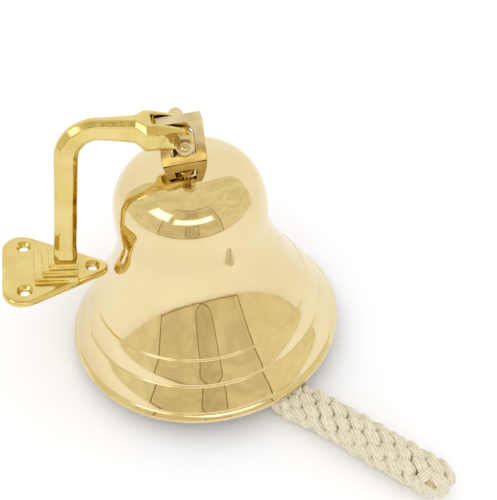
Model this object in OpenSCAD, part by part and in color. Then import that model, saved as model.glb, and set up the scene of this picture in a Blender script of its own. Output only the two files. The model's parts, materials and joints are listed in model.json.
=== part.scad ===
// Ship bell: a polished brass bell that hangs by a stirrup loop from a cast wall bracket,
// with a clapper inside and a plaited rope lanyard.
// The bell stands on its mouth, propped on the lanyard that passes under its lip,
// with the bracket folded down beside it. +Z is up and z = 0 is the surface it stands on.

/* [Bell] */
// Diameter of the mouth
mouth_d = 178; // [170:1:186]
// Height of the shell from lip to crown
bell_h = 131.5; // [126:0.5:136]
// Radius of the waist, the narrowest part of the shell
waist_r = 47; // [45:0.5:49]
// Thickness of the wall at the waist
wall_t = 3.6; // [3:0.1:4.5]
// Thickness of the wall at the lip
lip_t = 6.4; // [5:0.1:7.5]

/* [Bracket] */
// Distance from the yoke bolt's line to the middle of the long arm
arm_reach = 62.5; // [60:0.5:66]
// Distance from the wall plate's back to the yoke bolt
wall_reach = 102; // [99:0.5:106]
// Thickness of the wall plate
plate_t = 4; // [3:0.5:5]
// Radius of the screw holes in the wall plate
screw_hole_r = 2.6; // [2:0.1:3]
// Width of the slot in the fork
slot_w = 11; // [10:0.5:12]
// Diameter of the yoke bolt
yoke_bolt_d = 6; // [5:0.5:6.5]

/* [Clapper] */
// Distance from the clapper's pivot to the middle of its ball
clapper_l = 84; // [78:1:85]
// Diameter of the clapper's ball
ball_d = 26; // [22:1:28]

/* [Lanyard] */
// Diameter of the plaited rope
rope_d = 25; // [22:0.5:26]

/* [Pose] */
// Tilt of the bell where it rests on the lanyard, in degrees
tilt = 6; // [5:0.1:7]
// Lean of the folded bracket from the bell's axis, in degrees
fold_pitch = 12; // [11:0.5:14]

/* [Hidden] */
$fn = 64;
gap = 0.05;

// Colours
brass = [0.87, 0.74, 0.42];
deep_brass = [0.80, 0.62, 0.26];
dull_brass = [0.72, 0.60, 0.34];
fibre = [0.36, 0.20, 0.12];
cotton = [0.90, 0.86, 0.76];
twine = [0.80, 0.74, 0.60];

// Where the middle of the mouth stands, which centres the object on the origin
bell_at = [16, 0];
// Direction of the part of the lip that the lanyard lifts
lift_az = -65;

// Bell shell
mouth_r = mouth_d / 2;
lip_round = 0.8;
// Radius and height of the foot of each groove, as shares of the mouth's radius
groove_r = [for (k = [0.967, 0.860, 0.766]) k * mouth_r];
groove_z = [for (k = [0.064, 0.230, 0.390]) k * mouth_r];
groove_step = 0.9;
groove_rise = 0.5;
band_bulge = 0.9;
waist_z = 87;
flare_power = 1.63;
dome_power = 3;
crown_t = 5;
crown_flat_r = 12;
stud_hole_r = 3.15;

// Crown loop
loop_w = 26;
loop_h = 28.5;
loop_depth = 8;
loop_bar = 6;
loop_base_t = 6;
loop_top_t = 5.3;
loop_corner_r = 2.5;

// Yoke: heights here are in the bell's own frame, above the mouth
bolt_r = yoke_bolt_d / 2;
bolt_h = bell_h + loop_h - loop_top_t - 0.5 - bolt_r;
ear_out = 9.4;
ear_r = 6.6;
ear_neck_x = 5.8;
ear_neck_h = 14.4;
washer_t = 1;
washer_r = 5.2;
nut_af = 9.6;
nut_h = 4.6;
nut_dome_r = 4.3;
nut_dome_y = 7.2;
bolt_half_l = ear_out + washer_t + nut_h + 1.4;

// Bracket arm
arm_w = 13.2;
arm_depth = 9;
arm_chamfer = 3;
arm_bend_r = 18;
head_rise = 1.5;
slice_t = 0.6;
head_x = 20;
head_depth = 24;
head_h = 16.5;
head_chamfer = 4;
slot_end = 17;
slot_root_r = 1.5;

// Wall plate and its stepped plinth
plate_tip = [-43.5, 7];
plate_corner = [-88, 18.5, 12];
plate_bevel = 1.2;
screw_at = [[-87, 20], [-87, -20], [-46, 0]];
countersink_r = 4.9;
step_h = [3.2, 3, 3];
step_x = [-81, -76.5, -72.5];
step_y = [14.5, 11.5, 9];
plinth_front_x = -55.2;
plinth_h = step_h[0] + step_h[1] + step_h[2];
arm_screw_r = 2.5;
arm_screw_l = 26;
arm_screw_head_r = 4.8;

// Eye bolt, nut and washers on the crown
stud_r = 3;
crown_washer_t = 1.2;
crown_washer_r = 5.8;
crown_nut_af = 10;
crown_nut_h = 4;
inner_washer_t = 1.6;
inner_washer_r = 9;
collar_r = 6;
collar_t = 3;
eye_r = 7.2;
eye_hole_r = 4;
eye_t = 4.4;
eye_h = bell_h - crown_t - inner_washer_t - collar_t - eye_r - 1;

// Clapper: heights here are below its pivot
hook_r = 2.3;
hook_half_w = 6.4;
hook_l = 14;
rod_r = 3.6;
spigot_r = 2.8;
spigot_l = 9;
ball_r = ball_d / 2;
ball_flat = 0.7;
pivot_h = eye_h - eye_hole_r + hook_r + 0.3;
tail_neck_r = 3;
tail_eye_r = 6;
tail_hole_r = 3.3;
tail_t = 4;
tail_drop = ball_r + 6.4;

// Lanyard: a small cord loop through the clapper's tail eye, then the thick plait.
// The route runs along the surface in the direction lift_az; each point is
// [distance out from the middle of the mouth, distance to the left, height above the surface].
eye_cord_r = 2.5;
eye_loop_r = 7.2;
eye_slope = 28;
rope_route = [
    [9.7, 0, 7.2], [16, -0.3, 10.8], [24, -0.8, 12.4], [33, -1.2, 12.6], [42, -1.3, 12.6], [52, -1, 12.6],
    [62, -0.2, 12.4], [70, 0.9, 11.6], [77, 2.3, 10.4], [83, 3.8, 9.2], [89, 5.5, 8.6],
    [95, 7.3, 9.3], [101, 9.1, 10.8], [109, 11.5, 12.1], [119, 14.6, 12.6], [130, 18, 12.6],
    [142, 21.8, 12.6], [154, 25.6, 12.6], [166, 29.5, 12.6], [177, 33.1, 12.6]
];
// Share of the full thickness at each of the first route points, where the plait narrows to its neck
rope_neck = [0.52, 0.82, 0.97];
rope_sides = 12;
whipping = [3.6, 9.4];
whipping_r = 6;
whipping_z = 7.2;
knot_l = 12;

// Points on an arc about c, from angle a0 to angle a1
function arc(c, r, a0, a1, steps) =
    [for (i = [0 : steps]) c + r * [cos(a0 + (a1 - a0) * i / steps), sin(a0 + (a1 - a0) * i / steps)]];

// Points from p to q with the middle pushed out by bulge
function bowed(p, q, bulge, steps) =
    let (d = q - p, n = [d[1], -d[0]] / norm(d))
    [for (i = [0 : steps]) p + d * i / steps + n * bulge * sin(180 * i / steps)];

function reversed(list) = [for (i = [len(list) - 1 : -1 : 0]) list[i]];

// Outside of the shell, from the lip up to the crown
function flare_r(z) =
    waist_r + (groove_r[2] - waist_r) * pow((waist_z - z) / (waist_z - groove_z[2]), flare_power);
function flare_points(steps) =
    [for (i = [1 : steps]) let (z = groove_z[2] + (waist_z - groove_z[2]) * i / steps) [flare_r(z), z]];
function dome_points(r, h, steps) =
    [for (i = [1 : steps])
        let (a = 90 * i / steps)
        [r * pow(cos(a), 2 / dome_power), waist_z + (h - waist_z) * pow(sin(a), 2 / dome_power)]];
function ledge(i) = [[groove_r[i] + groove_step, groove_z[i] - groove_rise], [groove_r[i], groove_z[i]]];

function outside_points() = concat(
    arc([mouth_r - lip_round, lip_round], lip_round, -90, 0, 4),
    [[mouth_r, groove_z[0] * 0.5]],
    ledge(0),
    bowed([groove_r[0], groove_z[0] + 0.6], ledge(1)[0], band_bulge, 8),
    [ledge(1)[1]],
    bowed([groove_r[1], groove_z[1] + 0.6], ledge(2)[0], band_bulge, 8),
    [ledge(2)[1]],
    flare_points(18),
    dome_points(waist_r, bell_h, 24)
);
function inside_points() = concat(
    [[0, bell_h - crown_t], [crown_flat_r, bell_h - crown_t]],
    [for (p = reversed(dome_points(waist_r - wall_t, bell_h - crown_t, 16))) if (p[0] > crown_flat_r) p],
    [[waist_r - wall_t, waist_z]],
    [for (i = [1 : 8])
        let (z = waist_z + (groove_z[1] - waist_z) * i / 8,
             t = wall_t + (lip_t - wall_t) * i / 8,
             r = z > groove_z[2] ? flare_r(z) : groove_r[2] + (groove_r[1] - groove_r[2])
                 * (groove_z[2] - z) / (groove_z[2] - groove_z[1]))
        [r - t, z]],
    [[mouth_r - lip_t - 3, 4], [mouth_r - lip_t, 0]]
);

// Outline that wraps a list of circles [x, y, r] given counter-clockwise
function wrap(circles, steps) = [
    for (i = [0 : len(circles) - 1])
        let (n = len(circles),
             before = tangent_angle(circles[(i + n - 1) % n], circles[i]),
             after_raw = tangent_angle(circles[i], circles[(i + 1) % n]),
             after = after_raw < before ? after_raw + 360 : after_raw,
             c = circles[i])
        each arc([c[0], c[1]], c[2], before, after, steps)
];
// Direction from a circle's middle to its point on the tangent shared with the next circle
function tangent_angle(a, b) =
    let (d = [b[0] - a[0], b[1] - a[1]])
    atan2(d[1], d[0]) - acos((a[2] - b[2]) / norm(d));

// Chamfered rectangle, w along X and d along Y
function chamfered(w, d, c) = [
    [w / 2 - c, -d / 2], [w / 2, -d / 2 + c], [w / 2, d / 2 - c], [w / 2 - c, d / 2],
    [-w / 2 + c, d / 2], [-w / 2, d / 2 - c], [-w / 2, -d / 2 + c], [-w / 2 + c, -d / 2]
];

// Frames of the assembly's moving groups
module in_bell_frame()
    translate([bell_at[0], bell_at[1], mouth_r * sin(tilt)])
        rotate(a = tilt, v = [sin(lift_az), -cos(lift_az), 0])
            children();

module in_bracket_frame()
    in_bell_frame()
        translate([0, 0, bolt_h])
            rotate([0, fold_pitch, 0])
                children();

// The clapper hangs plumb from its pivot, whatever the bell's tilt
module in_clapper_frame()
    translate([bell_at[0] - pivot_h * sin(tilt) * cos(lift_az),
               bell_at[1] - pivot_h * sin(tilt) * sin(lift_az),
               mouth_r * sin(tilt) + pivot_h * cos(tilt)])
        children();

// Cylinder along Y, centred
module y_cylinder(r, l)
    rotate([90, 0, 0])
        cylinder(r = r, h = l, center = true);

module tube(r, hole_r, h)
    difference() {
        cylinder(r = r, h = h);
        translate([0, 0, -1])
            cylinder(r = hole_r, h = h + 2);
    }

// Hexagonal prism, af across its flats
module hexagon(af, h)
    cylinder(r = af / sqrt(3), h = h, $fn = 6);

// Wall plate: rounded triangle with a bevelled edge and a stepped plinth for the arm
module plate_outline(inset)
    polygon(wrap([
        [plate_corner[0], -plate_corner[1], plate_corner[2] - inset],
        [plate_tip[0], 0, plate_tip[1] - inset],
        [plate_corner[0], plate_corner[1], plate_corner[2] - inset]
    ], 12));

module wall_plate()
    color(deep_brass)
        in_bracket_frame()
            translate([0, 0, -wall_reach])
                difference() {
                    union() {
                        linear_extrude(plate_t - plate_bevel)
                            plate_outline(0);
                        hull() {
                            translate([0, 0, plate_t - plate_bevel - 0.01])
                                linear_extrude(0.01)
                                    plate_outline(0);
                            translate([0, 0, plate_t - 0.01])
                                linear_extrude(0.01)
                                    plate_outline(plate_bevel);
                        }
                        for (i = [0 : 2])
                            translate([step_x[i], -step_y[i], plate_t - 0.5])
                                cube([
                                    plinth_front_x - step_x[i],
                                    2 * step_y[i],
                                    0.5 + (i == 0 ? step_h[0] : i == 1 ? step_h[0] + step_h[1] : plinth_h)
                                ]);
                    }
                    for (p = screw_at)
                        translate([p[0], p[1], -1]) {
                            cylinder(r = screw_hole_r, h = plate_t + 2);
                            translate([0, 0, 1 + plate_t - countersink_r + screw_hole_r])
                                cylinder(r1 = screw_hole_r, r2 = countersink_r + 0.5,
                                         h = countersink_r - screw_hole_r + 0.5);
                        }
                    translate([-arm_reach, 0, -1])
                        cylinder(r = arm_screw_r + 0.1, h = plinth_h + plate_t + 2);
                    translate([-arm_reach, 0, -0.01])
                        cylinder(r1 = arm_screw_head_r + 0.1, r2 = arm_screw_r + 0.1, h = 2.4);
                }

// Slice of the arm or head, perpendicular to X, h high and d deep
module x_slice(x, z, h, d, c)
    translate([x, 0, z])
        rotate([0, 90, 0])
            linear_extrude(slice_t)
                polygon(chamfered(h, d, c));

// Cast arm: upright leg, bend, short leg and fork
module bracket_arm()
    color(deep_brass)
        in_bracket_frame()
            difference() {
                union() {
                    // Foot that flares onto the plinth
                    translate([-arm_reach, 0, -wall_reach + plate_t + plinth_h])
                        hull() {
                            linear_extrude(0.5)
                                polygon(chamfered(arm_w + 1.2, arm_depth + 3, arm_chamfer));
                            translate([0, 0, 7])
                                linear_extrude(0.01)
                                    polygon(chamfered(arm_w, arm_depth, arm_chamfer));
                        }
                    // Upright leg
                    translate([-arm_reach, 0, -wall_reach + plate_t + plinth_h + 6.9])
                        linear_extrude(wall_reach - plate_t - plinth_h - 6.9 - arm_bend_r + head_rise)
                            polygon(chamfered(arm_w, arm_depth, arm_chamfer));
                    // Bend
                    translate([-arm_reach + arm_bend_r, 0, head_rise - arm_bend_r])
                        rotate([90, 0, 0])
                            rotate([0, 0, 90])
                                rotate_extrude(angle = 90)
                                    translate([arm_bend_r, 0])
                                        polygon(chamfered(arm_w, arm_depth, arm_chamfer));
                    // Short leg, which thickens towards the fork
                    hull() {
                        x_slice(-arm_reach + arm_bend_r, head_rise, arm_w, arm_depth, arm_chamfer);
                        x_slice(-head_x - 6, head_rise, arm_w + 1.6, arm_depth + 2, arm_chamfer);
                    }
                    // Head of the fork
                    hull() {
                        x_slice(-head_x - 6, head_rise, arm_w + 1.6, arm_depth + 2, arm_chamfer);
                        x_slice(-head_x, 0.4, head_h, head_depth, head_chamfer);
                    }
                    hull() {
                        x_slice(-head_x, 0.4, head_h, head_depth, head_chamfer);
                        x_slice(-head_x + 5, 0.4, head_h, head_depth, head_chamfer);
                        x_slice(-ear_neck_x, 0.1, ear_neck_h, 2 * ear_out, 1.5);
                    }
                    hull() {
                        x_slice(-ear_neck_x - 0.3, 0.1, ear_neck_h - 0.1, 2 * ear_out - gap, 1.5);
                        x_slice(0.4, 0, 2 * ear_r - 0.2, 2 * ear_out - gap, 1.5);
                    }
                    // Round ears on the bolt
                    y_cylinder(ear_r, 2 * ear_out);
                }
                // Slot
                translate([-slot_end + slot_root_r, -slot_w / 2, -head_h])
                    cube([slot_end + 20, slot_w, 2 * head_h]);
                translate([-slot_end, -slot_w / 2 + slot_root_r, -head_h])
                    cube([slot_end, slot_w - 2 * slot_root_r, 2 * head_h]);
                for (y = [-1, 1])
                    translate([-slot_end + slot_root_r, y * (slot_w / 2 - slot_root_r), -head_h])
                        cylinder(r = slot_root_r, h = 2 * head_h);
                // Bolt hole
                y_cylinder(bolt_r + 0.1, 4 * ear_out);
                // Tapped hole for the foot's screw
                translate([-arm_reach, 0, -wall_reach + plate_t])
                    cylinder(r = arm_screw_r + gap, h = arm_screw_l - plate_t + 1);
            }

// Countersunk screw from the back of the plate into the arm's foot
module arm_screw()
    color(dull_brass)
        in_bracket_frame()
            translate([-arm_reach, 0, -wall_reach])
                difference() {
                    union() {
                        translate([0, 0, 0.1])
                            cylinder(r1 = arm_screw_head_r - 0.2, r2 = arm_screw_r, h = 2.3);
                        cylinder(r = arm_screw_r, h = arm_screw_l);
                    }
                    translate([-arm_screw_head_r, -0.6, -0.5])
                        cube([2 * arm_screw_head_r, 1.2, 1.7]);
                }

// Stud that the bell hangs on, threaded into a domed nut at each end
module yoke_bolt()
    color(dull_brass)
        in_bracket_frame()
            y_cylinder(bolt_r, 2 * bolt_half_l);

module yoke_washers()
    color(dull_brass)
        in_bracket_frame()
            for (side = [-1, 1])
                translate([0, side * (ear_out + washer_t / 2), 0])
                    difference() {
                        y_cylinder(washer_r, washer_t);
                        y_cylinder(bolt_r + 0.1, washer_t + 2);
                    }

// Domed nut on the yoke bolt, side -1 in front and 1 at the back
module yoke_nut(side)
    color(brass)
        in_bracket_frame()
            translate([0, side * (ear_out + washer_t), 0])
                rotate([-90 * side, 0, 0])
                    difference() {
                        union() {
                            hexagon(nut_af, nut_h);
                            translate([0, 0, nut_dome_y])
                                sphere(r = nut_dome_r);
                        }
                        translate([0, 0, -1])
                            cylinder(r = bolt_r + gap, h = bolt_half_l - ear_out - washer_t + 1.3);
                    }

module yoke_nut_front() yoke_nut(-1);
module yoke_nut_rear() yoke_nut(1);

// Bell shell, turned in one piece
module bell_shell()
    color(brass)
        in_bell_frame()
            difference() {
                rotate_extrude($fn = 180)
                    polygon(concat(outside_points(), inside_points()));
                translate([0, 0, bell_h - 2 * crown_t])
                    cylinder(r = stud_hole_r, h = 3 * crown_t);
            }

// Square stirrup that stands on the crown and hangs on the yoke bolt
module crown_loop()
    color(dull_brass)
        in_bell_frame()
            translate([0, 0, bell_h])
                difference() {
                    translate([-loop_w / 2, -loop_depth / 2, 0])
                        cube([loop_w, loop_depth, loop_h]);
                    loop_opening();
                    translate([0, 0, -1])
                        cylinder(r = stud_hole_r, h = loop_base_t + 2);
                }

module loop_opening() {
    inner_w = loop_w / 2 - loop_bar;
    top = loop_h - loop_top_t;
    translate([-inner_w, -loop_depth, loop_base_t])
        cube([2 * inner_w, 2 * loop_depth, top - loop_corner_r - loop_base_t]);
    translate([-inner_w + loop_corner_r, -loop_depth, loop_base_t])
        cube([2 * (inner_w - loop_corner_r), 2 * loop_depth, top - loop_base_t]);
    for (x = [-1, 1])
        translate([x * (inner_w - loop_corner_r), 0, top - loop_corner_r])
            y_cylinder(loop_corner_r, 2 * loop_depth);
}

module crown_washer()
    color(dull_brass)
        in_bell_frame()
            translate([0, 0, bell_h + loop_base_t])
                tube(crown_washer_r, stud_hole_r, crown_washer_t);

module crown_nut()
    color(dull_brass)
        in_bell_frame()
            translate([0, 0, bell_h + loop_base_t + crown_washer_t])
                difference() {
                    hexagon(crown_nut_af, crown_nut_h);
                    translate([0, 0, -1])
                        cylinder(r = stud_r + gap, h = crown_nut_h + 2);
                }

// Fibre washer between the eye bolt's collar and the crown
module inner_washer()
    color(fibre)
        in_bell_frame()
            translate([0, 0, bell_h - crown_t - inner_washer_t])
                tube(inner_washer_r, stud_hole_r, inner_washer_t);

// Eye bolt through the crown, which holds the loop on top and the clapper below
module eye_bolt()
    color(dull_brass)
        in_bell_frame()
            difference() {
                union() {
                    translate([0, 0, eye_h + eye_hole_r + 1])
                        cylinder(r = stud_r, h = bell_h + loop_base_t + crown_washer_t + crown_nut_h + 0.6
                                                 - eye_h - eye_hole_r - 1);
                    translate([0, 0, bell_h - crown_t - inner_washer_t - collar_t])
                        cylinder(r = collar_r, h = collar_t);
                    translate([0, 0, eye_h])
                        y_cylinder(eye_r, eye_t);
                }
                translate([0, 0, eye_h])
                    y_cylinder(eye_hole_r, eye_t + 2);
            }

// Clapper rod, with a stirrup at its top that hooks through the eye
module clapper_rod()
    color(deep_brass)
        in_clapper_frame()
            union() {
                for (z = [0, -hook_l])
                    translate([0, 0, z])
                        y_cylinder(hook_r, 2 * hook_half_w);
                for (y = [-hook_half_w, hook_half_w]) {
                    translate([0, y, -hook_l])
                        cylinder(r = hook_r, h = hook_l);
                    for (z = [0, -hook_l])
                        translate([0, y, z])
                            sphere(r = hook_r);
                }
                translate([0, 0, -clapper_l + ball_r - ball_flat])
                    cylinder(r = rod_r, h = clapper_l - ball_r + ball_flat - hook_l);
                translate([0, 0, -clapper_l + ball_r - ball_flat - spigot_l + 1])
                    cylinder(r = spigot_r, h = spigot_l);
            }

// Turned ball, bored for the rod above and the tail eye below
module clapper_ball()
    color(deep_brass)
        in_clapper_frame()
            translate([0, 0, -clapper_l])
                difference() {
                    intersection() {
                        sphere(r = ball_r, $fn = 96);
                        cube([3 * ball_r, 3 * ball_r, 2 * (ball_r - ball_flat)], center = true);
                    }
                    translate([0, 0, ball_r - ball_flat - spigot_l + 0.5])
                        cylinder(r = spigot_r + gap, h = spigot_l + 5);
                    translate([0, 0, -ball_r - 5])
                        cylinder(r = spigot_r + gap, h = spigot_l + 5);
                }

// Eye screwed into the bottom of the ball, turned to face along the lanyard
module clapper_tail_eye()
    color(dull_brass)
        in_clapper_frame()
            translate([0, 0, -clapper_l])
                rotate([0, 0, lift_az])
                    difference() {
                        union() {
                            translate([0, 0, -ball_r - 1.4])
                                cylinder(r = spigot_r, h = spigot_l);
                            translate([0, 0, -tail_drop + 3])
                                cylinder(r = tail_neck_r + 1.4, h = tail_drop - ball_r + ball_flat - 3);
                            translate([0, 0, -tail_drop])
                                y_cylinder(tail_eye_r, tail_t);
                        }
                        translate([0, 0, -tail_drop])
                            y_cylinder(tail_hole_r, tail_t + 2);
                    }

// Frame of the lanyard's small loop: X runs down and outwards from the tail eye
module in_lanyard_eye_frame()
    in_clapper_frame()
        translate([0, 0, -clapper_l - tail_drop])
            rotate([0, 0, lift_az])
                rotate([0, eye_slope, 0])
                    children();

module lanyard_eye()
    color(cotton)
        in_lanyard_eye_frame()
            translate([eye_loop_r, 0, 0])
                rotate_extrude($fn = 48)
                    translate([eye_loop_r, 0])
                        circle(r = eye_cord_r, $fn = 24);

// Twine seizing round the neck, between the small loop and the plait
module lanyard_whipping()
    color(twine)
        translate(on_surface([whipping[0], 0, whipping_z]))
            rotate([0, 0, lift_az])
                rotate([0, 90, 0])
                    cylinder(r = whipping_r, h = whipping[1] - whipping[0]);

// Place on the surface for a route point
function on_surface(p) =
    [bell_at[0] + p[0] * cos(lift_az) - p[1] * sin(lift_az),
     bell_at[1] + p[0] * sin(lift_az) + p[1] * cos(lift_az),
     p[2]];

// Rope of elliptical section: where its middle is low it is pressed flatter and wider
function rope_r(i) = rope_d / 2 * (i < len(rope_neck) ? rope_neck[i] : 1);
function rope_half_h(i) = min(rope_r(i), rope_route[i][2] - 0.1);
function rope_half_w(i) = rope_r(i) + 0.6 * (rope_r(i) - rope_half_h(i));
function route_side(i) =
    let (last = len(rope_route) - 1,
         a = on_surface(rope_route[max(i - 1, 0)]),
         b = on_surface(rope_route[min(i + 1, last)]),
         d = [b[0] - a[0], b[1] - a[1]] / norm([b[0] - a[0], b[1] - a[1]]))
    [-d[1], d[0], 0];
function rope_ring(i) =
    let (c = on_surface(rope_route[i]), side = route_side(i))
    [for (k = [0 : rope_sides - 1])
        let (a = 360 * k / rope_sides)
        c + side * rope_half_w(i) * cos(a) + [0, 0, rope_half_h(i) * sin(a)]];

// Plaited rope, swept along its route
module lanyard_rope()
    color(cotton) {
        rings = len(rope_route);
        points = [for (i = [0 : rings - 1]) each rope_ring(i)];
        sides = [for (i = [0 : rings - 2], k = [0 : rope_sides - 1])
            let (a = i * rope_sides + k,
                 b = i * rope_sides + (k + 1) % rope_sides)
            [a, b, b + rope_sides, a + rope_sides]];
        near_end = [for (k = [rope_sides - 1 : -1 : 0]) k];
        far_end = [for (k = [0 : rope_sides - 1]) (rings - 1) * rope_sides + k];
        polyhedron(points = points, faces = concat(sides, [near_end, far_end]), convexity = 4);
    }

// Round end of the lanyard, where the strands are turned back
module lanyard_end_knot()
    color(cotton) {
        last = len(rope_route) - 1;
        a = on_surface(rope_route[last - 1]);
        b = on_surface(rope_route[last]);
        heading = atan2(b[1] - a[1], b[0] - a[0]);
        translate(b)
            rotate([0, 0, heading])
                rotate([0, 90, 0]) {
                    translate([0, 0, 0.01])
                        cylinder(r = rope_d / 2, h = knot_l - 5);
                    translate([0, 0, knot_l - 5])
                        cylinder(r1 = rope_d / 2, r2 = rope_d / 2 - 4, h = 5);
                }
    }

wall_plate();
bracket_arm();
arm_screw();
yoke_bolt();
yoke_washers();
yoke_nut_front();
yoke_nut_rear();
bell_shell();
crown_loop();
crown_nut();
crown_washer();
inner_washer();
eye_bolt();
clapper_rod();
clapper_ball();
clapper_tail_eye();
lanyard_eye();
lanyard_whipping();
lanyard_rope();
lanyard_end_knot();
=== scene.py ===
# Looks of the ship bell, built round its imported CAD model. Lengths are in metres, in the part's frame.
import json
import math

import bpy
import numpy as np
from mathutils import Matrix, Vector


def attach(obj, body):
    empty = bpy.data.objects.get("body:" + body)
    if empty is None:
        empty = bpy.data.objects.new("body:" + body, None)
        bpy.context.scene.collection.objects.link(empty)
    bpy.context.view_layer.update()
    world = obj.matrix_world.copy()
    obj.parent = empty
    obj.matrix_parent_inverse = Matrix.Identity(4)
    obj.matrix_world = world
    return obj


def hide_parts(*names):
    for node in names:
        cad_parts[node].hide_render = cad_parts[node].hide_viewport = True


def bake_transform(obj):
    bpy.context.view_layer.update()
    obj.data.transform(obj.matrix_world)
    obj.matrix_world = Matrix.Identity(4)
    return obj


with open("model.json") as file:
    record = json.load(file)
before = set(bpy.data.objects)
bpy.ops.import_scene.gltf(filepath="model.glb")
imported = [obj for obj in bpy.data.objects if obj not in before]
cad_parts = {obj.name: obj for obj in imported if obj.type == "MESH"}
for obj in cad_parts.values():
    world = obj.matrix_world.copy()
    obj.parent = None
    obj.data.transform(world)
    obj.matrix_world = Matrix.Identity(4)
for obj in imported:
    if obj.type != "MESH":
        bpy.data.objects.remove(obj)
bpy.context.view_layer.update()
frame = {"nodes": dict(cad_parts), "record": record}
MM = 0.001

# ---------------------------------------------------------------- where the bell stands

# BELL_AT is on the surface, below the middle of the mouth. The lanyard lifts the lip at LIFT_AZ, by TILT.
BELL_AT = Vector((16, 0, 0)) * MM
TILT = math.radians(6)
LIFT_AZ = math.radians(-65)
MOUTH_R = 89 * MM
BELL_H = 131.5 * MM

bell_frame = (Matrix.Translation(BELL_AT + Vector((0, 0, MOUTH_R * math.sin(TILT))))
              @ Matrix.Rotation(TILT, 4, Vector((math.sin(LIFT_AZ), -math.cos(LIFT_AZ), 0))))

# ---------------------------------------------------------------- camera

CAMERA_LENS = 60
CAMERA_AT = Vector((-33.3, -348.6, 459.1)) * MM
CAMERA_TURN = (42.44, -0.15, -12.59)


def add_camera():
    """The photograph's viewing angle."""
    camera = bpy.data.objects.new("Camera", bpy.data.cameras.new("Camera"))
    bpy.context.scene.collection.objects.link(camera)
    bpy.context.scene.camera = camera
    camera.data.lens = CAMERA_LENS
    camera.location = CAMERA_AT
    camera.rotation_euler = [math.radians(a) for a in CAMERA_TURN]
    camera.data.clip_start = 0.01
    camera.data.clip_end = 20


add_camera()

# ---------------------------------------------------------------- mesh helpers


def mesh_piece(name, points, faces, smooth=True):
    mesh = bpy.data.meshes.new(name)
    mesh.from_pydata([tuple(p) for p in points], [], [tuple(f) for f in faces])
    mesh.validate()
    if smooth:
        mesh.polygons.foreach_set("use_smooth", [True] * len(mesh.polygons))
    piece = bpy.data.objects.new(name, mesh)
    bpy.context.scene.collection.objects.link(piece)
    return piece


def grid_faces(rows, columns, start=0, closed=True):
    """Quads between rows of points, each row a closed or open line of columns points."""
    faces = []
    for i in range(rows - 1):
        for k in range(columns if closed else columns - 1):
            a, b = start + i * columns + k, start + i * columns + (k + 1) % columns
            faces.append((a, b, b + columns, a + columns))
    return faces


def capped_tube(rings, start=0):
    """Faces of a closed tube through rings of equal length, the ends closed by single faces."""
    rows, columns = len(rings), len(rings[0])
    faces = grid_faces(rows, columns, start)
    faces.append(tuple(start + k for k in range(columns))[::-1])
    faces.append(tuple(start + (rows - 1) * columns + k for k in range(columns)))
    return faces


def moved(piece, matrix):
    piece.data.transform(matrix)
    return piece


# ---------------------------------------------------------------- materials


class Nodes:
    """Short forms for building a node material. Noise scales are per metre, bump distances in metres."""

    def __init__(self, name):
        self.material = bpy.data.materials.new(name)
        self.material.use_nodes = True
        self.tree = self.material.node_tree
        self.shader = self.tree.nodes["Principled BSDF"]
        self.coords = self.add("ShaderNodeTexCoord").outputs["Object"]

    def add(self, kind, **settings):
        node = self.tree.nodes.new(kind)
        for key, value in settings.items():
            setattr(node, key, value)
        return node

    def link(self, source, target):
        self.tree.links.new(source, target)

    def noise(self, scale, detail=3.0, roughness=0.5, stretch=None, distortion=0.0):
        node = self.add("ShaderNodeTexNoise")
        node.inputs["Scale"].default_value = scale
        node.inputs["Detail"].default_value = detail
        node.inputs["Roughness"].default_value = roughness
        node.inputs["Distortion"].default_value = distortion
        self.link(self.mapped(stretch), node.inputs["Vector"])
        return node.outputs["Fac"]

    def mapped(self, stretch):
        if stretch is None:
            return self.coords
        node = self.add("ShaderNodeMapping")
        node.inputs["Scale"].default_value = stretch
        self.link(self.coords, node.inputs["Vector"])
        return node.outputs["Vector"]

    def ramp(self, source, stops, colour=False):
        node = self.add("ShaderNodeValToRGB")
        elements = node.color_ramp.elements
        while len(elements) < len(stops):
            elements.new(0.5)
        for element, (at, value) in zip(elements, stops):
            element.position = at
            element.color = (*value, 1) if colour else (value, value, value, 1)
        self.link(source, node.inputs["Fac"])
        return node.outputs["Color"]

    def math(self, operation, a, b):
        node = self.add("ShaderNodeMath", operation=operation)
        for socket, value in zip(node.inputs, (a, b)):
            if isinstance(value, (int, float)):
                socket.default_value = value
            else:
                self.link(value, socket)
        return node.outputs["Value"]

    def bump(self, height, strength, distance, normal=None):
        node = self.add("ShaderNodeBump")
        node.inputs["Strength"].default_value = strength
        node.inputs["Distance"].default_value = distance
        self.link(height, node.inputs["Height"])
        if normal is not None:
            self.link(normal, node.inputs["Normal"])
        return node.outputs["Normal"]

    def set(self, name, value):
        self.shader.inputs[name].default_value = value

    def feed(self, name, source):
        self.link(source, self.shader.inputs[name])


def brass(name, light, dark, smooth, rough, wear_scale, ripple, scratch):
    """Polished brass: slow tint changes, patchy polish, fine scratches and slight waviness.
    smooth and rough are its roughness where it is best and least polished."""
    m = Nodes(name)
    m.set("Metallic", 1.0)
    tint = m.noise(wear_scale, detail=4)
    m.feed("Base Color", m.ramp(tint, [(0.30, dark), (0.62, light)], colour=True))
    patches = m.noise(wear_scale * 2.3, detail=6, roughness=0.6)
    m.feed("Roughness", m.ramp(patches, [(0.35, smooth), (0.75, rough)]))
    waves = m.bump(m.noise(90, detail=2), ripple, 0.0006)
    scratches = m.noise(700, detail=2, stretch=(1, 1, 9))
    m.feed("Normal", m.bump(scratches, scratch, 0.0001, waves))
    return m.material


bell_brass = brass("bell_brass", (0.81, 0.685, 0.40), (0.76, 0.62, 0.33), 0.02, 0.06, 22, 0.05, 0.02)
cast_brass = brass("cast_brass", (0.78, 0.635, 0.26), (0.68, 0.515, 0.16), 0.06, 0.15, 60, 0.35, 0.05)
turned_brass = brass("turned_brass", (0.72, 0.60, 0.34), (0.56, 0.43, 0.20), 0.13, 0.26, 80, 0.15, 0.10)


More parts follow.
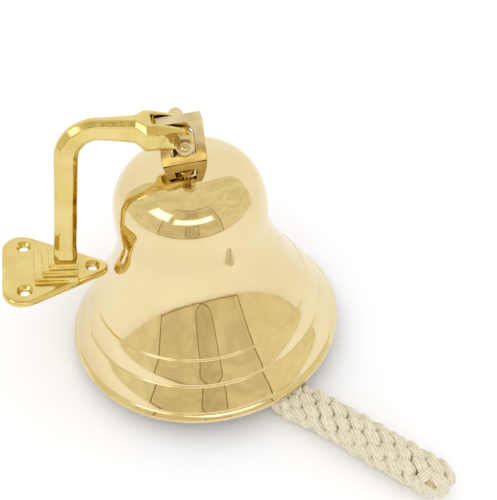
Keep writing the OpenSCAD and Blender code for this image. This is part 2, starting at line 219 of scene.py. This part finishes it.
def vulcanised_fibre():
    """Matt red-brown sheet with short fibres in it."""
    m = Nodes("vulcanised_fibre")
    m.feed("Base Color", m.ramp(m.noise(900, detail=6, stretch=(1, 4, 1)),
                                [(0.35, (0.10, 0.035, 0.018)), (0.65, (0.20, 0.08, 0.04))], colour=True))
    m.set("Roughness", 0.75)
    m.feed("Normal", m.bump(m.noise(1500, detail=4), 0.4, 0.0002))
    return m.material


fibre = vulcanised_fibre()


def rough_turned(name, light, dark):
    """The bell's inside: dull brass with fine turning lines and tarnish."""
    m = Nodes(name)
    m.set("Metallic", 1.0)
    tarnish = m.noise(45, detail=6, roughness=0.6)
    m.feed("Base Color", m.ramp(tarnish, [(0.35, dark), (0.65, light)], colour=True))
    m.feed("Roughness", m.ramp(m.noise(110, detail=5), [(0.3, 0.32), (0.7, 0.48)]))
    lines = m.noise(60, detail=8, roughness=0.7, stretch=(1, 1, 22))
    m.feed("Normal", m.bump(lines, 0.25, 0.0003))
    return m.material


turned_inside = rough_turned("turned_inside", (0.66, 0.53, 0.28), (0.48, 0.35, 0.16))


def cotton(name, light, dark):
    """Unbleached cotton: fibres, slubs, painted shade in the hollows between fibres and a soft sheen."""
    m = Nodes(name)
    fibres = m.add("ShaderNodeTexWave", wave_type="BANDS", bands_direction="DIAGONAL")
    fibres.inputs["Scale"].default_value = 1.0
    fibres.inputs["Distortion"].default_value = 1.5
    fibres.inputs["Detail"].default_value = 2
    stretch = m.add("ShaderNodeMapping")
    stretch.inputs["Scale"].default_value = (0.9, 7.5, 1)
    m.link(m.add("ShaderNodeUVMap").outputs["UV"], stretch.inputs["Vector"])
    m.link(stretch.outputs["Vector"], fibres.inputs["Vector"])
    slubs = m.math("MULTIPLY", m.noise(420, detail=5, roughness=0.65), 0.7)
    # The slubs are real tone; the fibre bands darken the colour where their bump sinks, which is painted
    # shade in the hollows.
    slubs_and_painted_shade = m.math("ADD", slubs, m.math("MULTIPLY", fibres.outputs["Fac"], 0.3))
    m.feed("Base Color", m.ramp(slubs_and_painted_shade, [(0.26, dark), (0.56, light)], colour=True))
    m.set("Roughness", 0.9)
    m.set("Specular IOR Level", 0.2)
    m.set("Sheen Weight", 0.25)
    m.set("Sheen Roughness", 0.6)
    m.set("Subsurface Weight", 0.08)
    m.set("Subsurface Scale", 0.002)
    m.set("Subsurface Radius", (1.0, 0.8, 0.6))
    coarse = m.bump(fibres.outputs["Fac"], 0.55, 0.0005)
    m.feed("Normal", m.bump(m.noise(1800, detail=3), 0.5, 0.0003, coarse))
    return m.material


rope_cotton = cotton("rope_cotton", (0.80, 0.75, 0.58), (0.60, 0.51, 0.32))
# The core shows only in the gaps between the lobes; its dark colour is painted shade.
rope_core_painted_shade = cotton("rope_core_painted_shade", (0.42, 0.33, 0.18), (0.24, 0.17, 0.08))
# The heart lies deep in the crown's hollow; its darker colour is painted shade.
rope_heart_painted_shade = cotton("rope_heart_painted_shade", (0.66, 0.52, 0.26), (0.46, 0.34, 0.14))
twine_material = cotton("waxed_twine", (0.76, 0.68, 0.50), (0.52, 0.44, 0.28))

# ---------------------------------------------------------------- lanyard

ROPE_R = 12.5 * MM
# [distance out from the middle of the mouth, distance to the left, height above the surface]
ROPE_ROUTE = [
    (9.7, 0, 7.2), (16, -0.3, 10.8), (24, -0.8, 12.4), (33, -1.2, 12.6), (42, -1.3, 12.6), (52, -1, 12.6),
    (62, -0.2, 12.4), (70, 0.9, 11.6), (77, 2.3, 10.4), (83, 3.8, 9.2), (89, 5.5, 8.6),
    (95, 7.3, 9.3), (101, 9.1, 10.8), (109, 11.5, 12.1), (119, 14.6, 12.6), (130, 18, 12.6),
    (142, 21.8, 12.6), (154, 25.6, 12.6), (166, 29.5, 12.6), (177, 33.1, 12.6),
]
KNOT_L = 12 * MM
NECK_L = 16 * MM
NECK_SHARE = 0.50
FLOOR_GAP = 0.15 * MM
TOP_GAP = 0.2 * MM
SPREAD_WHEN_PRESSED = 0.6


def on_surface(point):
    """A point of the route, given outwards from the mouth's middle, in the part's frame."""
    out, left, height = (c * MM for c in point)
    return Vector((BELL_AT.x + out * math.cos(LIFT_AZ) - left * math.sin(LIFT_AZ),
                   BELL_AT.y + out * math.sin(LIFT_AZ) + left * math.cos(LIFT_AZ), height))


class RopeRoute:
    """A smooth line through the route's points, measured along its length, with the knot's end added."""

    def __init__(self, points, extra):
        points = [np.array(p) for p in points]
        heading = points[-1] - points[-2]
        points.append(points[-1] + heading / np.linalg.norm(heading) * extra)
        padded = [2 * points[0] - points[1], *points, 2 * points[-1] - points[-2]]
        line = []
        for a, b, c, d in zip(padded, padded[1:], padded[2:], padded[3:]):
            for t in np.linspace(0, 1, 12, endpoint=False):
                line.append(0.5 * (2 * b + (c - a) * t + (2 * a - 5 * b + 4 * c - d) * t**2
                                   + (3 * b - a - 3 * c + d) * t**3))
        line.append(points[-1])
        self.line = np.array(line)
        steps = np.linalg.norm(np.diff(self.line, axis=0), axis=1)
        self.at = np.concatenate([[0], np.cumsum(steps)])
        self.length = self.at[-1]

    def point(self, s):
        return np.array([np.interp(s, self.at, self.line[:, k]) for k in range(3)]).T

    def frames(self, s):
        """Middle, left and up for places s along the rope; beyond the ends the line runs straight on."""
        s = np.asarray(s, float)
        inside = np.clip(s, 0, self.length)
        middle = self.point(inside)
        ahead = self.point(np.clip(inside + 2 * MM, 0, self.length)) - self.point(
            np.clip(inside - 2 * MM, 0, self.length))
        ahead /= np.linalg.norm(ahead, axis=-1, keepdims=True)
        middle = middle + ahead * (s - inside)[..., None]
        left = np.stack([-ahead[..., 1], ahead[..., 0], 0 * ahead[..., 0]], -1)
        left /= np.linalg.norm(left, axis=-1, keepdims=True)
        up = np.cross(ahead, left)
        return middle, left, up

    def place(self, s, angle, radius):
        """Points of the plait: radius is as on an unpressed rope, angle is from left towards up.
        The rope is thinner at its neck, and lower and wider where it lies under the lip."""
        middle, left, up = self.frames(s)
        neck = NECK_SHARE + (1 - NECK_SHARE) * np.clip(s / NECK_L, 0, 1) ** 0.7
        full = ROPE_R * neck
        half_h = np.minimum(full, middle[..., 2] - FLOOR_GAP)
        half_w = full + SPREAD_WHEN_PRESSED * (full - half_h)
        share = radius / ROPE_R
        return (middle + left * (half_w * share * np.cos(angle))[..., None]
                + up * (half_h * share * np.sin(angle))[..., None])


route = RopeRoute([on_surface(p) for p in ROPE_ROUTE], KNOT_L)

# Lobes are the short stretches of strand that show on the plait, in RIDGES rows that wind round it.
RIDGES = 6
LEAD = 98 * MM
LOBE_STEP = 6.9 * MM
LOBE_HALF_L = 6.2 * MM
LOBE_R = 3.95 * MM
LOBE_LEAN = math.radians(-24)
LOBE_DEPTH = 8.7 * MM
LOBE_TAIL = 3.2 * MM
LOBE_SLOPE = 0.6 * MM
LOBE_ARCH = 1.3 * MM
LOBE_DIVE = 1.0 * MM
LOBE_TURN_R = 0.8 * ROPE_R
LOBE_START = 2.5 * MM
LOBE_END = route.length - 3 * MM
LOBE_RINGS = 19
LOBE_SIDES = 21
YARNS = 3
YARN_LAY = 24 * MM
UNEVEN_S, UNEVEN_ANGLE = 0.2 * MM, 0.02
UNEVEN_LEAN, UNEVEN_SIZE = math.radians(2.5), 0.025
CORE_R = 7.4 * MM
CORE_END = route.length - 5 * MM
CORE_RINGS = 70
CORE_SIDES = 20
DOME_START = route.length - 11 * MM
DOME_END = route.length + 1.5 * MM

# The crown is the round end where the strands are turned back round a hollow, the heart.
CROWN_STRANDS = 5
CROWN_R = 6.4 * MM
CROWN_HOLE_R = 5.2 * MM
CROWN_S = route.length - 8 * MM
CROWN_ANGLE = math.radians(148)
CROWN_LEAN = math.radians(70)
CROWN_TURN_R = 0.85 * ROPE_R
CROWN_HALF_L = 5.4 * MM
CROWN_LOBE_R = 3.5 * MM
CROWN_DEPTH = 9.3 * MM
CROWN_TAIL = 2.0 * MM
HEART_HALF_L = 2.6 * MM
HEART_HALF_ANGLE = 0.24
HEART_DEPTH = 8.6 * MM
HEART_R = 1.2 * MM
HEART_RINGS = 7
HEART_SIDES = 12


def laid_outline(angle, yarn_offset=0.36, yarn_r=0.64):
    """Share of the full radius, at an angle round a cord laid from three yarns."""
    third = 2 * math.pi / YARNS
    a = (angle + third / 2) % third - third / 2
    return yarn_offset * np.cos(a) + np.sqrt(yarn_r**2 - (yarn_offset * np.sin(a)) ** 2)


def cord_rings(centres, side_a, side_b, radius, twist):
    """Rings of a laid cord: centres, and two directions across it, per ring."""
    theta = np.linspace(0, 2 * math.pi, LOBE_SIDES, endpoint=False)
    rings = []
    for i, (c, a, b) in enumerate(zip(centres, side_a, side_b)):
        r = radius[i] * laid_outline(theta + twist[i])
        rings.append(c + a * (r * np.cos(theta))[:, None] + b * (r * np.sin(theta))[:, None])
    return rings


class Builder:
    """Gathers closed tubes into one mesh, with a UV of centimetres along and turns round each cord."""

    def __init__(self):
        self.points, self.faces, self.uvs, self.slots = [], [], [], []

    def tube(self, rings, slot=0):
        start = len(self.points)
        columns = len(rings[0])
        mids = np.array([np.mean(r, axis=0) for r in rings])
        along = np.concatenate([[0], np.cumsum(np.linalg.norm(np.diff(mids, axis=0), axis=1))])
        for i, ring in enumerate(rings):
            self.points.extend(ring)
            self.uvs.extend([(along[i] * 100, k / columns) for k in range(columns)])
        faces = capped_tube(rings, start)
        self.faces.extend(faces)
        self.slots.extend([slot] * len(faces))

    def piece(self, name, materials):
        piece = mesh_piece(name, self.points, self.faces)
        layer = piece.data.uv_layers.new(name="UVMap")
        loops = np.zeros(len(piece.data.loops), np.int32)
        piece.data.loops.foreach_get("vertex_index", loops)
        layer.data.foreach_set("uv", np.array(self.uvs, np.float32)[loops].ravel())
        piece.data.polygons.foreach_set("material_index", self.slots)
        for m in materials:
            piece.data.materials.append(m)
        return piece


def unit(v):
    return v / np.linalg.norm(v, axis=-1, keepdims=True)


def surface_cord(place, start_s, start_angle, lean, half_l, radius, twist0, depth, tail):
    """One lobe: a short piece of cord that rises out of the plait, lies on it and dives in again.
    place maps (along, angle, radius) to a point, lean is the lobe's direction from the rope's axis,
    depth its middle's radius and tail how much deeper it starts."""
    u = np.linspace(-1, 1, LOBE_RINGS)
    s = start_s + half_l * u * math.cos(lean)
    angle = start_angle + half_l * u * math.sin(lean) / LOBE_TURN_R
    rise = (depth + LOBE_SLOPE * u - LOBE_ARCH * u**2 - tail * np.clip(-u, 0, 1) ** 2
            - LOBE_DIVE * np.clip(u, 0, 1) ** 5)
    centres = place(s, angle, rise)
    ahead = unit(np.gradient(centres, axis=0))
    outward = place(s, angle, rise + 2 * MM) - centres
    side_a = unit(np.cross(ahead, outward))
    side_b = unit(np.cross(side_a, ahead))
    round_off = np.sqrt(np.clip(1 - np.abs(u) ** 5, 0.04, 1))
    twist = twist0 + u * half_l * 2 * math.pi / YARN_LAY
    return cord_rings(centres, side_a, side_b, radius * round_off, twist)


def add_lobe(plait, place, s, angle, lean, half_l, radius, twist0, depth, tail):
    """One lobe, kept off the surface that the rope lies on and as flat as the rope is there."""
    rings = surface_cord(place, s, angle, lean, half_l, radius, twist0, depth, tail)
    height = float(route.point(min(max(s, 0), route.length))[2])
    for ring in rings:
        ring[:, 2] = np.clip(ring[:, 2], FLOOR_GAP, 2 * height - TOP_GAP)
    plait.tube(rings)


def add_lanyard(on_it):
    """The plait; on_it, the pieces at its neck, is not used."""
    rng = np.random.default_rng(7)
    plait = Builder()

    def dome(s):
        """The plait rounds off towards its end."""
        x = np.clip((s - DOME_START) / (DOME_END - DOME_START), 0, 0.98)
        return np.sqrt(1 - x**2)

    def place(s, angle, radius):
        return route.place(s, angle, radius * dome(s))

    core_s = np.linspace(0, CORE_END, CORE_RINGS)
    core_angle = np.linspace(0, 2 * math.pi, CORE_SIDES, endpoint=False)
    core_r = np.full(CORE_SIDES, CORE_R)
    plait.tube([place(np.full(CORE_SIDES, s), core_angle, core_r) for s in core_s], slot=1)

    steps = int(LOBE_END / LOBE_STEP) + 1
    for ridge in range(RIDGES):
        for j in range(steps):
            s = LOBE_START + (j - ridge / RIDGES) * LOBE_STEP + rng.normal(0, UNEVEN_S)
            if s > LOBE_END:
                continue
            angle = ridge * 2 * math.pi / RIDGES - 2 * math.pi * s / LEAD + rng.normal(0, UNEVEN_ANGLE)
            aside = (angle - CROWN_ANGLE + math.pi) % (2 * math.pi) - math.pi
            if math.hypot(s - CROWN_S, aside * ROPE_R) < CROWN_HOLE_R:
                continue
            lean = LOBE_LEAN + rng.normal(0, UNEVEN_LEAN)
            size = LOBE_R * (1 + rng.normal(0, UNEVEN_SIZE))
            add_lobe(plait, place, s, angle, -lean, LOBE_HALF_L, size, rng.uniform(0, 6.28),
                     LOBE_DEPTH, LOBE_TAIL)

    for k in range(CROWN_STRANDS):
        turn = 2 * math.pi * k / CROWN_STRANDS
        off_s, off_a = CROWN_R * math.cos(turn), CROWN_R * math.sin(turn) / CROWN_TURN_R
        add_lobe(plait, place, CROWN_S + off_s, CROWN_ANGLE + off_a, turn + CROWN_LEAN, CROWN_HALF_L,
                 CROWN_LOBE_R, turn, CROWN_DEPTH, CROWN_TAIL)

    heart_s = np.linspace(CROWN_S - HEART_HALF_L, CROWN_S + HEART_HALF_L, HEART_RINGS)
    heart_turn = np.linspace(0, 2 * math.pi, HEART_SIDES, endpoint=False)
    heart_angle = CROWN_ANGLE + HEART_HALF_ANGLE * np.cos(heart_turn)
    heart_r = np.full(HEART_SIDES, HEART_DEPTH) + HEART_R * np.sin(heart_turn)
    plait.tube([place(np.full(HEART_SIDES, s), heart_angle, heart_r) for s in heart_s], slot=2)

    piece = plait.piece("lanyard_plait", [rope_cotton, rope_core_painted_shade, rope_heart_painted_shade])
    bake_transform(piece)
    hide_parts("lanyard_rope", "lanyard_end_knot")
    path = route.point(np.linspace(0, route.length, 60))


EYE_CORD_R, EYE_LOOP_R = 2.5 * MM, 7.2 * MM
EYE_LAY, TWINE_LAY = 3, 4
WHIPPING_START, WHIPPING_END = 3.6 * MM, 9.4 * MM
WHIPPING_R, WHIPPING_Z = 6 * MM, 7.2 * MM
TWINE_R = 0.55 * MM
TWINE_PITCH = 1.7 * TWINE_R
RINGS_PER_TURN = 28
WHIPPING_CORE_GAP = 0.1 * MM


def add_small_loop():
    """The cord loop through the clapper's tail eye; it lies where its CAD node does."""
    node = frame["nodes"]["lanyard_eye"]
    corners = [node.matrix_world @ v.co for v in node.data.vertices]
    middle = sum(corners, Vector()) / len(corners)
    spread = np.array([tuple(c - middle) for c in corners])
    _, _, across = np.linalg.svd(spread, full_matrices=False)
    loop = Builder()
    turns = np.linspace(0, 2 * math.pi, 97)
    outward = np.outer(np.cos(turns), across[0]) + np.outer(np.sin(turns), across[1])
    centres = np.array(middle) + outward * EYE_LOOP_R
    normal = np.tile(across[2], (len(turns), 1))
    radius = np.full(len(turns), EYE_CORD_R)
    loop.tube(cord_rings(centres, outward, normal, radius, turns * EYE_LAY))
    piece = loop.piece("small_loop", [rope_cotton])
    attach(piece, "clapper")
    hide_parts("lanyard_eye")
    return piece


def add_whipping():
    """The twine wound round the lanyard's neck, over a core."""
    winding = Builder()
    wound_r, first, last = WHIPPING_R - TWINE_R, WHIPPING_START + TWINE_R, WHIPPING_END - TWINE_R
    count = (last - first) / TWINE_PITCH
    t = np.linspace(0, 1, int(count * RINGS_PER_TURN))
    angle = 2 * math.pi * count * t
    out = Vector((math.cos(LIFT_AZ), math.sin(LIFT_AZ), 0))
    left = Vector((-math.sin(LIFT_AZ), math.cos(LIFT_AZ), 0))
    start = Vector((*BELL_AT.xy, WHIPPING_Z))
    radial = np.outer(np.cos(angle), left) + np.outer(np.sin(angle), (0, 0, 1))
    centres = np.array(start) + np.outer(first + (last - first) * t, out) + radial * wound_r
    axis = np.tile(np.array(out), (len(t), 1))
    winding.tube(cord_rings(centres, radial, axis, np.full(len(t), TWINE_R), angle * TWINE_LAY))
    core_turns = np.linspace(0, 2 * math.pi, 24, endpoint=False)
    core = np.outer(np.cos(core_turns), left) + np.outer(np.sin(core_turns), (0, 0, 1))
    winding.tube([np.array(start) + np.array(out) * x + core * (wound_r - WHIPPING_CORE_GAP)
                  for x in np.linspace(first, last, 8)])
    piece = winding.piece("whipping_twine", [twine_material])
    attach(piece, "clapper")
    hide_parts("lanyard_whipping")
    return piece


add_lanyard([add_small_loop(), add_whipping()])

# ---------------------------------------------------------------- bell shell

WAIST_R, WAIST_Z = 47 * MM, 87 * MM
GROOVE_R = [share * MOUTH_R for share in (0.967, 0.860, 0.766)]
GROOVE_Z = [share * MOUTH_R for share in (0.064, 0.230, 0.390)]
GROOVE_STEP, GROOVE_RISE, BAND_BULGE = 0.9 * MM, 0.5 * MM, 0.4 * MM
LIP_ROUND, LIP_T, WALL_T, CROWN_T = 0.8 * MM, 6.4 * MM, 3.6 * MM, 5 * MM
CROWN_FLAT_R, STUD_HOLE_R = 12 * MM, 3.15 * MM
FLARE_POWER, DOME_POWER = 1.63, 3
SHELL_SIDES = 360
BAND_START, BAND_STEPS = 0.6 * MM, 24
EDGE_ROUND = 0.35 * MM
INNER_EDGE_START, INNER_EDGE_Z = 3 * MM, 4 * MM
# Rows at the end of the finished outline, inside the mouth, that are polished like the outside.
POLISHED_INNER_ROWS = 12


def flare_r(z):
    """Radius of the outside between the upper groove and the waist."""
    return WAIST_R + (GROOVE_R[2] - WAIST_R) * ((WAIST_Z - z) / (WAIST_Z - GROOVE_Z[2])) ** FLARE_POWER


def dome_points(r, h, steps):
    """The dome as a superellipse, from the waist up to height h."""
    angles = [math.pi / 2 * i / steps for i in range(1, steps + 1)]
    return [(r * max(math.cos(a), 0) ** (2 / DOME_POWER),
             WAIST_Z + (h - WAIST_Z) * math.sin(a) ** (2 / DOME_POWER)) for a in angles]


def bowed(start, end, bulge, steps):
    """A line that bows outwards by bulge in its middle."""
    dx, dz = end[0] - start[0], end[1] - start[1]
    size = math.hypot(dx, dz)
    return [(start[0] + dx * t + dz / size * bulge * math.sin(math.pi * t),
             start[1] + dz * t - dx / size * bulge * math.sin(math.pi * t))
            for t in (i / steps for i in range(steps + 1))]


def ledge(i):
    """The small step at a groove."""
    return [(GROOVE_R[i] + GROOVE_STEP, GROOVE_Z[i] - GROOVE_RISE), (GROOVE_R[i], GROOVE_Z[i])]


def band(i):
    """The bowed stretch above groove i, and the next groove's step."""
    foot, step = (GROOVE_R[i], GROOVE_Z[i] + BAND_START), ledge(i + 1)
    return bowed(foot, step[0], BAND_BULGE, BAND_STEPS) + step[1:]


def rounded_corners(points, radius, least_turn=math.radians(14), steps=5):
    """Replaces each sharp corner of an outline by a small curve, and leaves smooth stretches as they are."""
    out = [points[0]]
    for a, b, c in zip(points, points[1:], points[2:]):
        a, b, c = (np.array(p) for p in (a, b, c))
        before, after = b - a, c - b
        turn = abs(math.atan2(before[0] * after[1] - before[1] * after[0], before @ after))
        cut = min(radius, 0.45 * np.linalg.norm(before), 0.45 * np.linalg.norm(after))
        if turn < least_turn:
            out.append(tuple(b))
            continue
        p, q = b - before / np.linalg.norm(before) * cut, b + after / np.linalg.norm(after) * cut
        for t in (i / steps for i in range(steps + 1)):
            out.append(tuple((1 - t) ** 2 * p + 2 * t * (1 - t) * b + t**2 * q))
    out.append(points[-1])
    return out


def lathe(name, outline, sides):
    """Turned mesh from an outline of (radius, height) that closes on itself."""
    turns = np.linspace(0, 2 * math.pi, sides, endpoint=False)
    points = [(r * math.cos(t), r * math.sin(t), z) for r, z in outline for t in turns]
    faces = grid_faces(len(outline), sides)
    last = (len(outline) - 1) * sides
    faces += [(last + k, last + (k + 1) % sides, (k + 1) % sides, k) for k in range(sides)]
    return mesh_piece(name, points, faces)


def add_shell():
    """The turned shell: polished outside and round the lip, dull inside."""
    lip = [(MOUTH_R - LIP_ROUND + LIP_ROUND * math.sin(a), LIP_ROUND - LIP_ROUND * math.cos(a))
           for a in (math.pi / 2 * i / 8 for i in range(9))]
    flare = [(flare_r(z), z) for z in np.linspace(GROOVE_Z[2] + 1 * MM, WAIST_Z, 60)]
    outside = (lip + [(MOUTH_R, GROOVE_Z[0] * 0.5)] + ledge(0)
               + band(0) + band(1)
               + flare + [p for p in dome_points(WAIST_R, BELL_H, 96) if p[0] > STUD_HOLE_R])
    inner_dome = [p for p in dome_points(WAIST_R - WALL_T, BELL_H - CROWN_T, 48) if p[0] > CROWN_FLAT_R]
    inner_flare = []
    for z in np.linspace(WAIST_Z, GROOVE_Z[1], 30):
        share = (WAIST_Z - z) / (WAIST_Z - GROOVE_Z[1])
        r = flare_r(z) if z > GROOVE_Z[2] else GROOVE_R[2] + (GROOVE_R[1] - GROOVE_R[2]) * (
            GROOVE_Z[2] - z) / (GROOVE_Z[2] - GROOVE_Z[1])
        inner_flare.append((r - WALL_T - (LIP_T - WALL_T) * share, z))
    inside = ([(STUD_HOLE_R, BELL_H), (STUD_HOLE_R, BELL_H - CROWN_T), (CROWN_FLAT_R, BELL_H - CROWN_T)]
              + inner_dome[::-1] + inner_flare
              + [(MOUTH_R - LIP_T - INNER_EDGE_START, INNER_EDGE_Z),
                 (MOUTH_R - LIP_T, 0), (MOUTH_R - LIP_T + 1 * MM, 0)])
    outline = rounded_corners(outside + inside, EDGE_ROUND)
    shell = moved(lathe("shell", outline, SHELL_SIDES), bell_frame)
    shell.data.materials.append(bell_brass)
    shell.data.materials.append(turned_inside)
    first_inside = next(i for i, (r, z) in enumerate(outline) if r < CROWN_FLAT_R and z < BELL_H - 2 * MM)
    last_inside = len(outline) - POLISHED_INNER_ROWS
    rows = np.repeat(np.arange(len(outline)), SHELL_SIDES)
    shell.data.polygons.foreach_set(
        "material_index", ((rows >= first_inside) & (rows < last_inside)).astype(np.int32))
    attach(shell, "bell")
    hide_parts("bell_shell")


add_shell()

# ---------------------------------------------------------------- brass pieces

SLOT_MATERIAL = {
    "bell_brass": bell_brass, "cast_brass": cast_brass, "turned_brass": turned_brass,
    "fibre": fibre, "cotton": rope_cotton, "twine": twine_material,
}
FILING_SIZE = 14 * MM
SHARP_EDGE = math.radians(32)
WELD_GAP = 0.01 * MM
CAST_VOXEL, CAST_ROUNDS, CAST_DRIFT = 0.40 * MM, 6, 0.35 * MM
LOOP_BEVEL, NUT_BEVEL = 0.45 * MM, 0.25 * MM

for row in frame["record"]["subparts"]:
    node = frame["nodes"][row["node"]]
    node.data.materials.clear()
    node.data.materials.append(SLOT_MATERIAL[row["material_slot"]])


def soften(node, voxel, rounds, drift):
    """Takes the sharp edges off a cast node, and gives its faces a slight hand-filed unevenness."""
    remesh = node.modifiers.new("soft_edges", "REMESH")
    remesh.mode = "VOXEL"
    remesh.voxel_size = voxel
    remesh.use_smooth_shade = True
    smooth = node.modifiers.new("polish", "SMOOTH")
    smooth.factor = 0.5
    smooth.iterations = rounds
    clouds = bpy.data.textures.new(node.name + "_filing", "CLOUDS")
    clouds.noise_scale = FILING_SIZE
    displace = node.modifiers.new("filing", "DISPLACE")
    displace.texture = clouds
    displace.texture_coords = "LOCAL"
    displace.strength = drift
    displace.mid_level = 0.5


def bevel(node, width):
    """Rounds the machined edges of a node."""
    weld = node.modifiers.new("weld", "WELD")
    weld.merge_threshold = WELD_GAP
    edge = node.modifiers.new("edges", "BEVEL")
    edge.width = width
    edge.segments = 3
    edge.limit_method = "ANGLE"
    edge.angle_limit = SHARP_EDGE
    edge.harden_normals = True


for name in ("wall_plate", "bracket_arm"):
    soften(frame["nodes"][name], CAST_VOXEL, CAST_ROUNDS, CAST_DRIFT)
bevel(frame["nodes"]["crown_loop"], LOOP_BEVEL)
for name in ("yoke_nut_front", "yoke_nut_rear", "crown_nut"):
    bevel(frame["nodes"][name], NUT_BEVEL)

# ---------------------------------------------------------------- floor and light


def emissive(name, colour, strength, unevenness=0.10):
    """A lit surface whose brightness drifts a little from place to place."""
    m = Nodes(name)
    m.set("Base Color", (0, 0, 0, 1))
    m.set("Specular IOR Level", 0)
    drift = m.noise(1.6, detail=3, distortion=1.5)
    low, high = ([c * (1 + k * unevenness) for c in colour] for k in (-1, 1))
    m.feed("Emission Color", m.ramp(drift, [(0.35, low), (0.65, high)], colour=True))
    m.set("Emission Strength", strength)
    return m.material


FLOOR_HALF = 6


def add_stage():
    """The plain pale floor."""
    corners = [(x * FLOOR_HALF, y * FLOOR_HALF, 0) for x, y in ((-1, -1), (1, -1), (1, 1), (-1, 1))]
    floor = mesh_piece("floor", corners, [(0, 1, 2, 3)], smooth=False)
    m = Nodes("floor_paper")
    m.set("Base Color", (0.965, 0.965, 0.975, 1))
    m.set("Roughness", 0.9)
    m.set("Specular IOR Level", 0.1)
    floor.data.materials.append(m.material)


def add_card(name, points, faces, colour, strength):
    """A card that only shows in the polished brass."""
    card = mesh_piece(name, points, faces)
    card.data.materials.append(emissive(name, colour, strength))
    card.visible_camera = False
    card.visible_diffuse = False
    card.visible_shadow = False


def direction(azimuth, elevation):
    """Unit vector; azimuth in degrees from -Y towards +X, elevation in degrees."""
    a, e = math.radians(azimuth), math.radians(elevation)
    return Vector((math.sin(a) * math.cos(e), -math.cos(a) * math.cos(e), math.sin(e)))


def add_room(name, middle, spread, distance, horizon, colour):
    """The dim room behind the camera: a cap of a sphere with an uneven edge, cut off at the horizon.
    middle is the azimuth and elevation of its middle; spread and horizon are in degrees."""
    rings, spokes = 48, 96
    axis = direction(*middle)
    across = axis.cross(Vector((0, 0, 1))).normalized()
    over = across.cross(axis)
    points, faces = [], []
    for i in range(rings + 1):
        a = math.radians(spread) * i / rings
        for k in range(spokes):
            b = 2 * math.pi * k / spokes
            edge = a * (1 + 0.035 * math.sin(3 * b + 0.5) + 0.02 * math.sin(7 * b))
            v = axis * math.cos(edge) + (across * math.cos(b) + over * math.sin(b)) * math.sin(edge)
            points.append(v * distance)
    low = distance * math.sin(math.radians(horizon))
    for f in grid_faces(rings + 1, spokes):
        if max(points[k].z for k in f) > low:
            faces.append(f)
    points = [Vector((p.x, p.y, max(p.z, low))) if p.z > -0.2 else p for p in points]
    add_card(name, points, faces, colour, 1.0)


def add_panel(name, azimuths, elevations, distance, colour, strength=1.0, round_foot=False):
    """A panel between two azimuths and two elevations, with a round lower end if asked."""
    rows, columns = 24, 24
    points = []
    half = (azimuths[1] - azimuths[0]) / 2
    middle = (azimuths[1] + azimuths[0]) / 2
    for e in np.linspace(*elevations, rows):
        share = min((e - elevations[0]) / half, 1) if round_foot else 1
        reach = half * math.sqrt(max(1 - (1 - share) ** 2, 0.0004))
        for a in np.linspace(middle - reach, middle + reach, columns):
            points.append(direction(a, e) * distance)
    add_card(name, points, grid_faces(rows, columns, closed=False), colour, strength)


def area_light(name, at, towards, size, power):
    light = bpy.data.lights.new(name, "AREA")
    light.shape = "RECTANGLE"
    light.size, light.size_y = size
    light.energy = power
    lamp = bpy.data.objects.new(name, light)
    bpy.context.scene.collection.objects.link(lamp)
    lamp.location = at
    lamp.rotation_mode = "QUATERNION"
    lamp.rotation_quaternion = (Vector(towards) - Vector(at)).to_track_quat("-Z", "Y")
    return lamp


LAMP_AT, LAMP_TOWARDS = (-0.35, -0.55, 1.2), (0, 0, 0.1)
LAMP_SIZE, LAMP_POWER = (0.6, 0.6), 1.6
WORLD_COLOUR, WORLD_STRENGTH = (1.0, 0.995, 1.0, 1), 1.05
LINE, PANE, ARCH = (0.30, 0.22, 0.10), (0.77, 0.68, 0.48), (0.67, 0.58, 0.40)
ROOM_COLOUR = (0.86, 0.79, 0.58)
GLOW_COLOUR, GLOW_STRENGTH, GLOW_STEP = (1, 1, 0.97), 2.4, 0.5
SOFT_EDGES = 4


def add_room_cards():
    """The room, a window with an arch before it, and two bright patches, as they reflect in the bell.
    Azimuths and elevations follow the photograph's reflections. A panel's dark outline is a slightly
    larger panel behind it."""
    add_room("room", (-14, 27), 99, 2.0, 0.8, ROOM_COLOUR)
    add_panel("window_line", (-54, 36), (1.6, 66), 1.95, LINE)
    add_panel("window", (-53, 35), (2.4, 65), 1.9, PANE)
    add_panel("arch_line", (-16.6, 2.6), (2.0, 60), 1.85, LINE, round_foot=True)
    add_panel("arch", (-15.8, 1.8), (2.8, 61), 1.8, ARCH, round_foot=True)
    for k in range(SOFT_EDGES):
        # Each wider card lies behind the last one and is dimmer, which softens the patches' edges.
        strength = GLOW_STRENGTH - GLOW_STEP * k
        add_panel(f"strip_{k}", (-32 - 2 * k, 24 + 2 * k), (34.5 - k * 1.3, 41 + k * 1.3),
                  1.6 + 0.02 * k, GLOW_COLOUR, strength)
        add_panel(f"patch_{k}", (-80 - 2 * k, -50 + 2 * k), (38 - k * 1.5, 50 + k * 1.5),
                  1.7 + 0.02 * k, GLOW_COLOUR, strength)


def add_light():
    """Even white surroundings, the cards, and one soft lamp for the shadows."""
    world = bpy.data.worlds.new("studio")
    bpy.context.scene.world = world
    world.use_nodes = True
    world.node_tree.nodes["Background"].inputs["Color"].default_value = WORLD_COLOUR
    world.node_tree.nodes["Background"].inputs["Strength"].default_value = WORLD_STRENGTH
    add_room_cards()
    lamp = area_light("soft_box", LAMP_AT, LAMP_TOWARDS, LAMP_SIZE, LAMP_POWER)
    lamp.visible_glossy = False
    bpy.context.scene.view_settings.view_transform = "Standard"


add_stage()
add_light()
